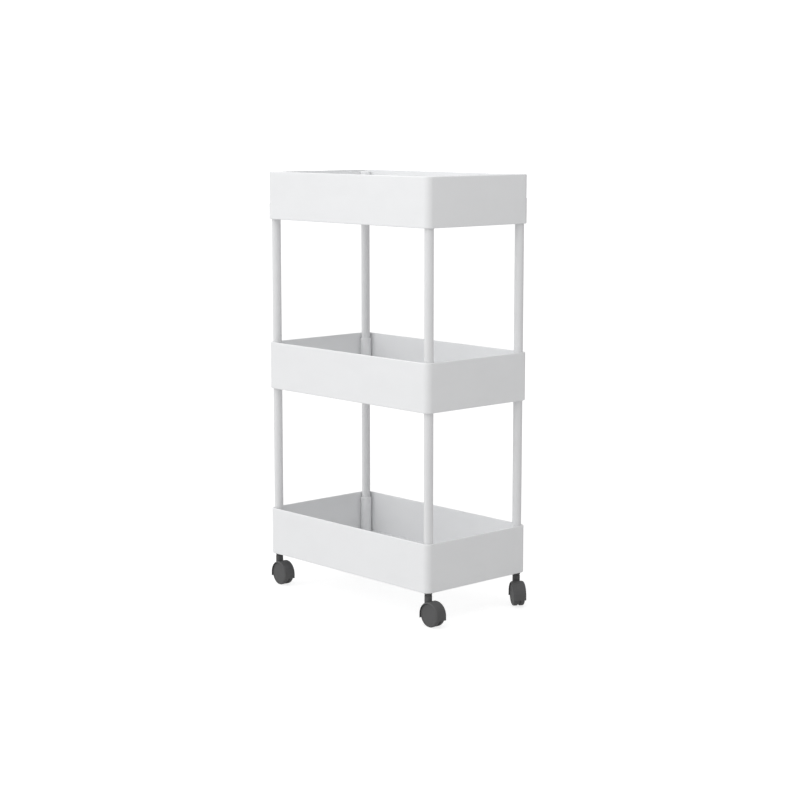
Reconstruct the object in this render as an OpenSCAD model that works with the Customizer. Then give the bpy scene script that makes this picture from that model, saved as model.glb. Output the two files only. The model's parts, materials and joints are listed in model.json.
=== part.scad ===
// Three-tier rolling pantry cart: three alike moulded trays, joined by eight
// tubular posts that plug into the trays' corner columns, on four hooded
// twin-wheel swivel casters.
// Millimetres, +Z up. The origin is on the floor, under the middle of the cart.
// The long front side faces -Y, and the left end faces -X.

/* [Trays] */
// Length of each tray, from the left end to the right end
tray_length = 400; // [300:5:520]
// Depth of each tray, from front to back
tray_depth = 226; // [180:2:320]
// Height of each tray, from its bottom edge to its rim
tray_height = 80; // [70:1:110]
// Distance from one tray to the next one up
tier_pitch = 290; // [220:5:380]
// Thickness of the tray's side walls
wall = 3; // [2.4:0.1:3.6]
// Outer radius of the tray's upright corners
corner_radius = 11; // [9:0.5:12]
// Radius of the bottom edge, outside
edge_radius = 1.4; // [0.8:0.1:1.6]
// Thickness of the tray's floor
floor_thickness = 3; // [2:0.5:4]
// Height of the floor's underside above the tray's bottom edge
floor_lift = 5; // [4:0.5:8]

/* [Drain slots] */
// Slots along the length of a floor
slot_columns = 7; // [3:2:7]
// Slots along the depth of a floor
slot_rows = 11; // [5:2:11]
// Length of one slot
slot_length = 38; // [20:1:40]
// Width of one slot
slot_width = 6; // [4:0.5:8]
// Distance between slots, along the length
slot_pitch_x = 50; // [46:1:50]
// Distance between slots, along the depth
slot_pitch_y = 17; // [12:0.5:17]

/* [Posts] */
// Outer diameter of a post
post_diameter = 15; // [13:0.5:16]
// Wall of a post's tube
post_wall = 0.9; // [0.8:0.1:2]
// From the outer end face of a tray to a post's axis
post_inset_x = 10.5; // [10:0.5:12]
// From the outer long face of a tray to a post's axis
post_inset_y = 12.2; // [11:0.2:14]
// Outer diameter of the corner columns that hold the posts
column_diameter = 19; // [18.5:0.5:20]
// Distance from a tray's rim down to the top of its columns
column_drop = 9; // [6:0.5:14]

/* [Casters] */
// Height of the bottom tray's bottom edge above the floor
caster_height = 54.5; // [53:0.5:60]
// Diameter of a wheel
wheel_diameter = 39; // [36:0.5:40]
// Width across the hood
hood_width = 22; // [21:0.5:26]
// Wall of the hood
hood_wall = 1.4; // [1.2:0.1:1.8]
// Distance from the swivel axis back to the axle
trail = 10.5; // [8:0.5:12]
// Diameter of the hood's neck
neck_diameter = 12.4; // [11:0.2:14]
// Direction in which the front left caster trails, from +X
heading_front_left = -4; // [-180:1:180]
// Direction in which the front right caster trails, from +X
heading_front_right = 0; // [-180:1:180]
// Direction in which the back left caster trails, from +X
heading_back_left = 180; // [-180:1:180]
// Direction in which the back right caster trails, from +X
heading_back_right = -33; // [-180:1:180]

/* [Hidden] */
$fn = 96;

CORNERS = ["front_left", "front_right", "back_left", "back_right"];
SIDES = ["left", "right"];

headings = [heading_front_left, heading_front_right, heading_back_left, heading_back_right];

// Small gaps: fit_gap holds a part still, run_gap lets it turn, end_gap keeps faces apart
fit_gap = 0.05;
run_gap = 0.05;
end_gap = 0.2;
// How far a cutter runs past the face that it opens
over = 1;

// Tray
floor_top = floor_lift + floor_thickness;
rim_radius = wall / 2;
rib_thickness = 1.8;
rib_bottom = 1;
socket_radius = post_diameter / 2 + fit_gap;
socket_chamfer = 0.6;
column_top = tray_height - column_drop;
lower_socket_depth = 32;
column_web = 4;
upper_socket_floor = lower_socket_depth + column_web;

// Column cap
cap_radius = 8.5;
cap_height = 5.5;
cap_round = 1.5;
cap_plug_length = 14;
cap_plug_wall = 1.6;

// Levels of a caster, above the floor
wheel_radius = wheel_diameter / 2;
hood_gap = 0.5;
hood_inner = wheel_radius + hood_gap;
hood_outer = hood_inner + hood_wall;
hood_round = 3;
hood_bottom = 12.8;
lip_width = 2.2;
lip_thickness = 1.2;
collar_height = 3.7;
collar_radius = 6.4;
shoulder_height = 1.4;
shoulder_radius = 4.4;
collar_bottom = caster_height - collar_height;
neck_top = collar_bottom - shoulder_height;

// Stem, bush and grip ring
stem_radius = 4;
stem_reach = 28;
stem_tip = 1;
pin_radius = 3;
pin_length = 6.4;
head_radius = 3.5;
head_height = 2;
bush_top = lower_socket_depth;
ring_level = 21;
ring_height = 2;
ring_inner = 3.4;
ring_outer = 4.8;
ring_split = 30;

// Axle and wheels
axle_radius = 2;
axle_head_radius = 2.4;
axle_head = 1;
web_half = 1.5;
web_radius = wheel_radius - 1.5;
boss_half = 1.6;
boss_radius = 4.5;
hub_face = boss_half + end_gap;
wheel_inner = 2;
wheel_outer = hood_width / 2 - lip_thickness - 0.5;
disc_thickness = 1.9;
tread_thickness = 3;
hub_radius = 4.6;
bore_depth = wheel_outer - 2.8;
face_step = 0.4;
face_radius = wheel_radius - 3.2;
tread_round = 2.4;
inner_round = 0.6;

// Signs of a corner's X and Y
function corner_sign(i) = [i % 2 == 0 ? -1 : 1, i < 2 ? -1 : 1];

// Axis of the posts and of the caster at a corner
function corner_axis(i) = [
    corner_sign(i).x * (tray_length / 2 - post_inset_x),
    corner_sign(i).y * (tray_depth / 2 - post_inset_y),
    0
];

// Height of the bottom edge of a tray, counted from 0 at the bottom
function tray_level(tier) = caster_height + tier * tier_pitch;

// Middle of the i-th of n places that are a pitch apart, centred on 0
function spread(i, n, pitch) = (i - (n - 1) / 2) * pitch;

// Rectangle with round corners, centred on the origin
module rounded_rectangle(length, width, radius) {
    square([length - 2 * radius, width], center = true);
    square([length, width - 2 * radius], center = true);
    for (x = [-1, 1], y = [-1, 1])
        translate([x * (length / 2 - radius), y * (width / 2 - radius)])
            circle(radius);
}

// Slot with half-round ends, along X
module slot_outline() {
    square([slot_length - slot_width, slot_width], center = true);
    for (x = [-1, 1])
        translate([x * (slot_length - slot_width) / 2, 0])
            circle(slot_width / 2);
}

// Section of a tray's wall: x runs inwards from the outer face, y runs up
module wall_section() {
    translate([0, edge_radius])
        square([wall, tray_height - edge_radius - rim_radius]);
    translate([edge_radius, 0])
        square([wall - edge_radius, edge_radius]);
    translate([edge_radius, edge_radius])
        circle(edge_radius);
    translate([rim_radius, tray_height - rim_radius])
        circle(rim_radius);
}

// One straight wall of the given length, its outer face at the given distance in -Y
module straight_wall(length, distance) {
    translate([-length / 2, -distance, 0])
        rotate([90, 0, 90])
            linear_extrude(length)
                wall_section();
}

// One upright corner, in the first quarter
module corner_wall() {
    rotate_extrude(angle = 90)
        translate([corner_radius, 0])
            mirror([1, 0])
                wall_section();
}

// The four walls of a tray with their round corners
module tray_walls() {
    for (turn = [0, 180])
        rotate([0, 0, turn]) {
            straight_wall(tray_length - 2 * corner_radius, tray_depth / 2);
            translate([tray_length / 2 - corner_radius, tray_depth / 2 - corner_radius, 0])
                corner_wall();
        }
    for (turn = [90, 270])
        rotate([0, 0, turn]) {
            straight_wall(tray_depth - 2 * corner_radius, tray_length / 2);
            translate([tray_depth / 2 - corner_radius, tray_length / 2 - corner_radius, 0])
                corner_wall();
        }
}

// Floor plate with its drain slots
module tray_floor() {
    translate([0, 0, floor_lift])
        linear_extrude(floor_thickness)
            difference() {
                rounded_rectangle(tray_length - wall, tray_depth - wall, corner_radius - wall / 2);
                for (column = [0 : slot_columns - 1], row = [0 : slot_rows - 1])
                    translate([
                        spread(column, slot_columns, slot_pitch_x),
                        spread(row, slot_rows, slot_pitch_y)
                    ])
                        slot_outline();
            }
}

// Stiffening ribs under the floor, between the slots
module floor_ribs() {
    rib_height = floor_lift - rib_bottom + over;
    for (column = [0 : slot_columns - 2])
        translate([
            spread(column, slot_columns - 1, slot_pitch_x) - rib_thickness / 2,
            -(tray_depth - wall) / 2,
            rib_bottom
        ])
            cube([rib_thickness, tray_depth - wall, rib_height]);
    for (row = [0 : 3 : slot_rows - 2])
        translate([
            -(tray_length - wall) / 2,
            spread(row, slot_rows - 1, slot_pitch_y) - rib_thickness / 2,
            rib_bottom
        ])
            cube([tray_length - wall, rib_thickness, rib_height]);
}

// Bores of one corner column: a socket from below, a web, and a socket from above
module column_sockets() {
    translate([0, 0, -over])
        cylinder(h = lower_socket_depth + over, r = socket_radius);
    translate([0, 0, upper_socket_floor])
        cylinder(h = column_top - upper_socket_floor + over, r = socket_radius);
    translate([0, 0, column_top - socket_chamfer])
        cylinder(h = socket_chamfer, r1 = socket_radius, r2 = socket_radius + socket_chamfer);
}

// A tray: tier 0 is the bottom one
module tray(tier) {
    color("whitesmoke")
        translate([0, 0, tray_level(tier)])
            difference() {
                union() {
                    tray_walls();
                    tray_floor();
                    floor_ribs();
                    for (i = [0 : 3])
                        translate(corner_axis(i))
                            cylinder(h = column_top, d = column_diameter);
                }
                for (i = [0 : 3])
                    translate(corner_axis(i))
                        column_sockets();
            }
}

// Tubular post at a corner, from the tray of the given tier to the one above it
module post(i, tier) {
    length = tier_pitch - column_web;
    color("white")
        translate(corner_axis(i) + [0, 0, tray_level(tier) + upper_socket_floor])
            difference() {
                cylinder(h = length, d = post_diameter);
                translate([0, 0, -over])
                    cylinder(h = length + 2 * over, d = post_diameter - 2 * post_wall);
            }
}

// Cap that closes a column of the top tray: a head on a hollow plug. The head is round,
// with flats where it would meet the tray's walls.
module column_cap(i) {
    clear_of_wall = wall + end_gap;
    color("whitesmoke")
        translate(corner_axis(i) + [0, 0, tray_level(2) + column_top]) {
            difference() {
                translate([0, 0, -cap_plug_length]) {
                    cylinder(h = cap_plug_length, d = post_diameter);
                    cylinder(h = cap_plug_length + over, d = post_diameter - cap_plug_wall);
                }
                translate([0, 0, -cap_plug_length - over])
                    cylinder(h = cap_plug_length + over, r = post_diameter / 2 - cap_plug_wall);
            }
            intersection() {
                rotate_extrude() {
                    square([cap_radius, cap_height - cap_round]);
                    square([cap_radius - cap_round, cap_height]);
                    translate([cap_radius - cap_round, cap_height - cap_round])
                        circle(cap_round);
                }
                translate(-corner_axis(i))
                    linear_extrude(cap_height)
                        rounded_rectangle(
                            tray_length - 2 * clear_of_wall,
                            tray_depth - 2 * clear_of_wall,
                            corner_radius - clear_of_wall
                        );
            }
        }
}

// Plastic bush in a column of the bottom tray, with the collar that shows below it
module caster_bush(i) {
    color("dimgray")
        translate(corner_axis(i) + [0, 0, caster_height])
            difference() {
                union() {
                    cylinder(h = bush_top, r = post_diameter / 2);
                    translate([0, 0, -collar_height])
                        cylinder(h = collar_height + over, r = collar_radius);
                }
                translate([0, 0, -collar_height - over])
                    cylinder(h = collar_height + over + stem_reach + end_gap, r = stem_radius + fit_gap);
                translate([0, 0, ring_level - end_gap])
                    cylinder(h = ring_height + 2 * end_gap, r = ring_outer + fit_gap);
            }
}

// Steel stem: a rod with a grip-ring groove, a shoulder, and the swivel pin with its head
module caster_stem(i) {
    stem_top = caster_height + stem_reach;
    shoulder_bottom = neck_top + end_gap;
    head_top = shoulder_bottom - pin_length;
    color("silver")
        translate(corner_axis(i))
            difference() {
                union() {
                    translate([0, 0, collar_bottom - over])
                        cylinder(h = stem_top - stem_tip - collar_bottom + over, r = stem_radius);
                    translate([0, 0, stem_top - stem_tip])
                        cylinder(h = stem_tip, r1 = stem_radius, r2 = stem_radius - stem_tip);
                    translate([0, 0, shoulder_bottom])
                        cylinder(h = collar_bottom - shoulder_bottom, r = shoulder_radius);
                    translate([0, 0, head_top])
                        cylinder(h = pin_length + over / 2, r = pin_radius);
                    translate([0, 0, head_top - head_height])
                        cylinder(h = head_height, r = head_radius);
                }
                translate([0, 0, caster_height + ring_level])
                    difference() {
                        cylinder(h = ring_height, r = stem_radius + over);
                        cylinder(h = ring_height, r = ring_inner - fit_gap);
                    }
            }
}

// Split spring ring that holds the stem in its bush
module grip_ring(i) {
    color("lightgray")
        translate(corner_axis(i) + [0, 0, caster_height + ring_level + fit_gap])
            rotate_extrude(angle = 360 - ring_split)
                translate([ring_inner, 0])
                    square([ring_outer - ring_inner, ring_height - 2 * fit_gap]);
}

// Puts a caster's moving parts at a corner: their X is the way that the caster trails
module at_caster(i) {
    translate(corner_axis(i))
        rotate([0, 0, headings[i]])
            children();
}

// Puts a shape drawn around the Z axis on the axle's line, along Y
module on_axle() {
    translate([trail, 0, wheel_radius])
        rotate([90, 0, 0])
            children();
}

// Half of a drum with round edges, over the axle, and its straight skirt below
module hood_block(radius, half_width, round_edge, bottom) {
    translate([trail, 0, wheel_radius])
        rotate([90, 0, 0])
            rotate_extrude(angle = 180) {
                translate([0, -half_width])
                    square([radius - round_edge, 2 * half_width]);
                translate([0, -(half_width - round_edge)])
                    square([radius, 2 * (half_width - round_edge)]);
                for (side = [-1, 1])
                    translate([radius - round_edge, side * (half_width - round_edge)])
                        circle(round_edge);
            }
    translate([trail, 0, bottom])
        linear_extrude(wheel_radius - bottom)
            rounded_rectangle(2 * radius, 2 * half_width, round_edge);
}

// Arch that opens both faces of the hood inside its lips: y runs up from the axle
module face_opening() {
    radius = hood_outer - lip_width;
    circle(radius);
    translate([-radius, -wheel_radius])
        square([2 * radius, wheel_radius]);
}

// Plate between the two wheels, and the boss around the axle: y runs up from the axle
module web_outline() {
    circle(web_radius);
    intersection() {
        circle(hood_inner + hood_wall / 2);
        translate([-hood_outer, -boss_radius])
            square([2 * hood_outer, hood_outer + boss_radius]);
    }
}

// Swivelling hood: neck, shell over both wheels with lips around their faces, and web
module caster_hood(i) {
    cavity_half = hood_width / 2 - lip_thickness;
    pin_clearance = pin_radius + run_gap;
    head_room_top = neck_top + end_gap - pin_length + end_gap;
    head_room_height = head_height + 2 * end_gap;
    color("dimgray")
        at_caster(i)
            difference() {
                union() {
                    difference() {
                        union() {
                            hood_block(hood_outer, hood_width / 2, hood_round, hood_bottom);
                            translate([0, 0, wheel_radius])
                                cylinder(h = neck_top - wheel_radius, d = neck_diameter);
                        }
                        hood_block(hood_inner, cavity_half, hood_round - hood_wall, hood_bottom - over);
                        on_axle()
                            linear_extrude(hood_width + 2 * over, center = true)
                                face_opening();
                    }
                    on_axle()
                        linear_extrude(2 * web_half, center = true)
                            web_outline();
                    on_axle()
                        cylinder(h = 2 * boss_half, r = boss_radius, center = true);
                }
                on_axle()
                    cylinder(h = 2 * boss_half + over, r = axle_radius, center = true);
                translate([0, 0, head_room_top - over / 2])
                    cylinder(h = neck_top - head_room_top + over, r = pin_clearance);
                translate([0, 0, head_room_top - head_room_height])
                    cylinder(h = head_room_height, r = head_radius + run_gap);
            }
}

// Steel axle with a small head at each end
module caster_axle(i) {
    half_length = bore_depth - end_gap;
    color("silver")
        at_caster(i)
            on_axle() {
                cylinder(h = 2 * (half_length - axle_head) + 0.5, r = axle_radius, center = true);
                for (side = [0, 1])
                    mirror([0, 0, side])
                        translate([0, 0, half_length - axle_head])
                            cylinder(h = axle_head, r = axle_head_radius);
            }
}

// Half section of a wheel: x runs out from the axle, y runs to the outer face
module wheel_section() {
    difference() {
        union() {
            translate([0, wheel_inner])
                square([wheel_radius - tread_round, wheel_outer - wheel_inner]);
            translate([0, wheel_inner + inner_round])
                square([wheel_radius, wheel_outer - wheel_inner - inner_round - tread_round]);
            translate([wheel_radius - tread_round, wheel_outer - tread_round])
                circle(tread_round);
            translate([wheel_radius - inner_round, wheel_inner + inner_round])
                circle(inner_round);
            translate([wheel_radius - 2 * tread_round, wheel_inner])
                square([2 * tread_round - inner_round, over]);
            translate([0, hub_face])
                square([hub_radius, over]);
        }
        // Dish on the inner side, around the hub
        translate([hub_radius, wheel_inner - over])
            square([
                wheel_radius - tread_thickness - hub_radius,
                wheel_outer - disc_thickness - wheel_inner + over
            ]);
        // Shallow step in the outer face
        polygon([
            [0, wheel_outer - face_step],
            [face_radius - face_step, wheel_outer - face_step],
            [face_radius, wheel_outer],
            [face_radius, wheel_outer + over],
            [0, wheel_outer + over]
        ]);
        // Bore, and the room for the axle's head
        translate([0, hub_face - over])
            square([axle_radius + run_gap, bore_depth - hub_face + over]);
        translate([0, bore_depth - end_gap - axle_head - end_gap / 2])
            square([axle_head_radius + run_gap, axle_head + end_gap + end_gap / 2]);
    }
}

// One wheel of a caster: side 0 is the left one, seen looking the way it trails
module caster_wheel(i, side) {
    color("dimgray")
        at_caster(i)
            on_axle()
                mirror([0, 0, 1 - side])
                    rotate_extrude()
                        wheel_section();
}

tray(0);  // tray_bottom
tray(1);  // tray_middle
tray(2);  // tray_top
for (i = [0 : 3]) {
    post(i, 0);
    post(i, 1);
    column_cap(i);
    caster_bush(i);
    caster_stem(i);
    grip_ring(i);
    caster_hood(i);
    caster_axle(i);
    caster_wheel(i, 0);
    caster_wheel(i, 1);
}
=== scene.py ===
import json
import math

import bmesh
import bpy
from bpy.props import FloatProperty, FloatVectorProperty, IntProperty, PointerProperty
from mathutils import Matrix, Vector


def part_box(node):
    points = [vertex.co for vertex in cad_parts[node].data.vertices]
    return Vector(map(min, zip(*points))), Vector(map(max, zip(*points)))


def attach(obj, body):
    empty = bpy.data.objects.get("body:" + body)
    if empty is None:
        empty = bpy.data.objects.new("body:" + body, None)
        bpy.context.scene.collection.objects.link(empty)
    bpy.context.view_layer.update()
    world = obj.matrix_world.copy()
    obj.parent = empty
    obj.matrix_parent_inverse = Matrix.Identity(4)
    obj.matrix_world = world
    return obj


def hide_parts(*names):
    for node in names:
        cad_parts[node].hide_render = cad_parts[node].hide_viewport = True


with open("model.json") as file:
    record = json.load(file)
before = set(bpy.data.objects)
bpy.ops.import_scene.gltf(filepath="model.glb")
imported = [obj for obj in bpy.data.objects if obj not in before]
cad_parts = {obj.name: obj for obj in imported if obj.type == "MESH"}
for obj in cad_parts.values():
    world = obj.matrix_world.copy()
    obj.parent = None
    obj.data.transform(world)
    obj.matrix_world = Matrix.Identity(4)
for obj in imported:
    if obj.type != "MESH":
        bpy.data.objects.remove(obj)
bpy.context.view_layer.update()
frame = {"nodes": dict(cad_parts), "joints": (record.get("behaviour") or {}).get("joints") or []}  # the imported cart, in metres: the floor is Z = 0 and the long front faces -Y

bl_info = {
    "name": "Rolling Pantry Cart",
    "version": (1, 0, 0),
    "blender": (4, 5, 0),
    "location": "View3D > Sidebar > Pantry Cart",
    "description": "Three moulded trays on tubular posts, with hooded twin-wheel casters",
    "category": "Add Mesh",
}

CORNERS = ("front_left", "front_right", "back_left", "back_right")
TIERS = ("bottom", "middle", "top")
SIDES = ("left", "right")
MM = 0.001
PLAY = 0.05 * MM  # between parts that turn or slide on each other
CLEAR = 0.2 * MM  # between faces that stay apart
BREAK = 0.2 * MM  # chamfer that just breaks an edge
CHAMFER = 0.3 * MM
SOFT_EDGE = 0.5 * MM  # rounding or chamfer of an edge that hands touch
WELD = 1e-6  # points that are nearer than this are one point
ROUND_STEPS = 72  # flats around a turned piece
BORE_STEPS = 48
WHEEL_STEPS = 96
COLUMN_STEPS = 64
JOINTS = {joint["name"]: joint for joint in frame["joints"]}


def node_size(node):
    """Length, depth and height of a CAD node's box."""
    low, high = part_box(node)
    return high - low


def swivel_point(corner):
    """Where a corner's post and caster axis meets the floor."""
    x, y, _ = JOINTS[f"swivel_{corner}"]["pos_m"]
    return Vector((x, y, 0.0))


def axle_point(corner):
    """Middle of a caster's axle."""
    return Vector(JOINTS[f"roll_{corner}_left"]["pos_m"])


TRAY_SIZE = node_size("tray_bottom")
TRAY_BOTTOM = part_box("tray_bottom")[0].z
POST_RADIUS = node_size("post_lower_front_left").x / 2
CORNER_AXIS = swivel_point("back_right")
AXLE = axle_point("front_right")
TRAIL = AXLE.x - swivel_point("front_right").x
WHEEL_RADIUS = AXLE.z
HOOD_LOW, HOOD_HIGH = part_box("caster_hood_front_right")


# ---------------------------------------------------------------- settings

def length(name, description, default):
    """A length in metres, shown in the user's unit."""
    return FloatProperty(name=name, description=description, default=default, min=0.0,
                         precision=5, unit="LENGTH")


def colour(name, description, default):
    """A colour that the user picks."""
    return FloatVectorProperty(name=name, description=description, default=default,
                               subtype="COLOR", size=3, min=0.0, max=1.0)


def share(name, description, default):
    """A share from 0 to 1."""
    return FloatProperty(name=name, description=description, default=default,
                         subtype="FACTOR", min=0.0, max=1.0)


def angle(name, description, degrees):
    """An angle, given in degrees."""
    return FloatProperty(name=name, description=description, default=math.radians(degrees),
                         subtype="ANGLE", unit="ROTATION")


def power(name, description, default):
    """A lamp's power in watts."""
    return FloatProperty(name=name, description=description, default=default, min=0.0,
                         unit="POWER")


class CART_PG_tray(bpy.types.PropertyGroup):
    """Sizes of one moulded tray"""
    length: length("Length", "From the left end to the right end", TRAY_SIZE.x)
    depth: length("Depth", "From front to back", TRAY_SIZE.y)
    height: length("Height", "From the bottom edge to the rim", TRAY_SIZE.z)
    wall: length("Wall", "Thickness of the side walls", 3.0 * MM)
    corner: length("Corner radius", "Outer radius of the upright corners", 11.0 * MM)
    edge: length("Edge radius", "Radius of the bottom edge", 1.4 * MM)
    floor_lift: length("Floor lift", "From the bottom edge up to the floor", 5.0 * MM)
    floor_thickness: length("Floor thickness", "Thickness of the slotted floor", 3.0 * MM)
    slot_columns: IntProperty(name="Slot columns", description="Slots along the length",
                              default=7, min=1)
    slot_rows: IntProperty(name="Slot rows", description="Slots along the depth",
                           default=11, min=2)
    slot_length: length("Slot length", "Length of one drain slot", 38.0 * MM)
    slot_width: length("Slot width", "Width of one drain slot", 6.0 * MM)
    slot_pitch_x: length("Slot pitch, length", "Between slots, along the length", 50.0 * MM)
    slot_pitch_y: length("Slot pitch, depth", "Between slots, along the depth", 17.0 * MM)
    rib: length("Rib thickness", "Thickness of the ribs under the floor", 1.8 * MM)
    rib_bottom: length("Rib bottom", "From the bottom edge up to the ribs", 1.0 * MM)
    rows_per_rib: IntProperty(name="Rows per rib", default=3, min=1,
                              description="Rows of slots from one long rib to the next")
    column: length("Column radius", "Outer radius of the corner columns", 9.5 * MM)
    column_height: length("Column height", "From the bottom edge to a column's top", 71.0 * MM)
    socket_depth: length("Lower socket", "Depth of the socket below the web", 32.0 * MM)
    web: length("Web", "Thickness between the two sockets", 4.0 * MM)
    mouth: length("Mouth radius", "Rounding of a column's mouth", 0.6 * MM)
    foot: length("Foot radius", "Rounding of a column's foot", 0.2 * MM)


class CART_PG_post(bpy.types.PropertyGroup):
    """Sizes of the posts and of the caps on the top tray's columns"""
    wall: length("Tube wall", "Wall of a post", 0.9 * MM)
    end: length("End radius", "Rounding of a post's cut ends", 0.25 * MM)
    cap: length("Cap radius", "Radius of a cap's head", 8.5 * MM)
    cap_height: length("Cap height", "Height of a cap's head", 5.5 * MM)
    cap_edge: length("Cap edge", "Rounding of a cap's head", 1.5 * MM)
    plug_wall: length("Plug wall", "Wall of a cap's hollow plug", 1.6 * MM)


class CART_PG_caster(bpy.types.PropertyGroup):
    """Sizes of a caster"""
    hood_wall: length("Hood wall", "Wall of the hood over the treads", 1.4 * MM)
    hood_edge: length("Hood edge", "Rounding of the hood's outer edges", 3.0 * MM)
    skirt: length("Skirt", "From the floor up to the hood's lower edge", 12.8 * MM)
    lip: length("Lip width", "How far the hood's edge turns in over a wheel", 2.2 * MM)
    lip_wall: length("Lip wall", "Thickness of the hood's turned-in edge", 1.2 * MM)
    neck: length("Neck radius", "Radius of the hood's neck", 6.2 * MM)
    pin: length("Pin radius", "Radius of the swivel pin", 3.0 * MM)
    pin_head: length("Pin head", "Radius of the swivel pin's head", 3.5 * MM)
    pin_head_height: length("Pin head height", "Height of the swivel pin's head", 2.0 * MM)
    web: length("Web", "Plate between the two wheels", 3.0 * MM)
    boss: length("Boss radius", "Boss around the axle", 4.5 * MM)
    boss_width: length("Boss width", "Width of the boss around the axle", 3.2 * MM)
    axle: length("Axle radius", "Radius of the axle", 2.0 * MM)
    axle_head: length("Axle head", "Radius of the axle's heads", 2.4 * MM)
    axle_head_width: length("Axle head width", "Width of the axle's heads", 1.0 * MM)
    tread_edge: length("Tread edge", "Rounding of a wheel's outer edge", 2.4 * MM)
    tread_inner_edge: length("Inner tread edge", "Rounding of a wheel's inner edge", 0.6 * MM)
    tread: length("Tread", "Thickness of a wheel's tread", 3.0 * MM)
    hub: length("Hub radius", "Radius of a wheel's hub", 4.6 * MM)
    disc: length("Disc", "Thickness of a wheel's outer disc", 1.9 * MM)
    dish_edge: length("Dish edge", "Rounding inside a wheel's dish", 0.8 * MM)
    face_step: length("Face step", "Depth of the step in a wheel's face", 0.4 * MM)
    face_margin: length("Face margin", "From the tread in to the step", 3.2 * MM)
    collar: length("Collar radius", "Radius of the bush's collar", 6.4 * MM)
    shoulder: length("Shoulder radius", "Radius of the stem's shoulder", 4.4 * MM)
    stem: length("Stem radius", "Radius of the stem in its bush", 4.0 * MM)
    stem_groove: length("Stem groove", "Radius of the stem under its grip ring", 3.35 * MM)
    stem_tip: length("Stem tip", "Chamfer of the stem's tip", 1.0 * MM)


class CART_PG_finish(bpy.types.PropertyGroup):
    """Colours of the finishes"""
    tray: colour("Tray white", "Moulded white plastic", (0.86, 0.865, 0.873))
    post: colour("Post white", "White powder coat", (0.79, 0.793, 0.80))
    caster: colour("Caster grey", "Dark grey nylon of hoods and bushes", (0.10, 0.10, 0.101))
    wheel: colour("Wheel grey", "Dark grey nylon of the wheels", (0.095, 0.095, 0.096))
    # The plated steel's colour is set to a dark grey, far below bright zinc
    zinc: colour("Zinc", "Plated steel, dark grey", (0.20, 0.20, 0.195))
    floor: colour("Studio floor", "Pale floor under the cart", (0.35, 0.35, 0.35))
    floor_glow: share("Floor glow", "Light that comes through the floor from below", 0.36)
    floor_white: share("Floor white", "What the camera sees of that light in addition", 0.42)


class CART_PG_stage(bpy.types.PropertyGroup):
    """Camera, lamps and floor"""
    azimuth: angle("Azimuth", "Where the camera stands, turned from the front to the right", 47.6)
    elevation: angle("Elevation", "How far the camera looks down", 8.54)
    distance: length("Distance", "From the camera to its target", 3.143)
    lens: FloatProperty(name="Lens", description="Focal length", default=83.96, min=1.0,
                        unit="CAMERA")
    aim: FloatVectorProperty(name="Aim", description="Point that the camera looks at",
                             default=(0.008, 0.0037, 0.3343), subtype="XYZ", unit="LENGTH")
    key: power("Key light", "Large soft light in front, on the left", 4.0)
    fill: power("Fill light", "Soft light above the right end", 4.2)
    sky: FloatProperty(name="Sky", description="Strength of the light all round",
                       default=0.69, min=0.0)
    glow: FloatProperty(name="Glow", description="How much brighter the sky's key side is",
                        default=0.58, min=0.0)
    toward: FloatVectorProperty(name="Key side", description="Direction of the bright side",
                                default=(-0.72, -0.58, 0.38), subtype="XYZ")


class CART_PG_cart(bpy.types.PropertyGroup):
    """All settings of the cart"""
    tray: PointerProperty(type=CART_PG_tray)
    post: PointerProperty(type=CART_PG_post)
    caster: PointerProperty(type=CART_PG_caster)
    finish: PointerProperty(type=CART_PG_finish)
    stage: PointerProperty(type=CART_PG_stage)


# ---------------------------------------------------------------- node trees

class TreeBuilder:
    """Adds nodes to a tree and wires them. A node stands for its first output."""

    def __init__(self, tree):
        self.tree = tree

    def add(self, kind, wires=None, **settings):
        node = self.tree.nodes.new(kind)
        for name, value in settings.items():
            setattr(node, name, value)
        for name, value in (wires or {}).items():
            self.wire(value, node.inputs[name])
        return node

    def wire(self, value, socket):
        if isinstance(value, bpy.types.Node):
            value = value.outputs[0]
        if isinstance(value, bpy.types.NodeSocket):
            self.tree.links.new(value, socket)
        elif isinstance(value, list):
            for one in value:
                self.wire(one, socket)
        else:
            socket.default_value = value

    def calc(self, operation, first, second=0.0, third=0.0):
        return self.add("ShaderNodeMath", {0: first, 1: second, 2: third}, operation=operation)

    def vector(self, x=0.0, y=0.0, z=0.0):
        return self.add("ShaderNodeCombineXYZ", {"X": x, "Y": y, "Z": z})

    def group_sockets(self, inputs, outputs):
        """Makes the group's sockets from (name, kind, default) and (name, kind) rows."""
        for name, kind, default in inputs:
            socket = self.tree.interface.new_socket(name, in_out="INPUT",
                                                    socket_type="NodeSocket" + kind)
            if default is not None:
                socket.default_value = default
        for name, kind in outputs:
            self.tree.interface.new_socket(name, in_out="OUTPUT",
                                           socket_type="NodeSocket" + kind)
        given = self.add("NodeGroupInput")
        result = self.add("NodeGroupOutput")
        return given.outputs, result.inputs


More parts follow.
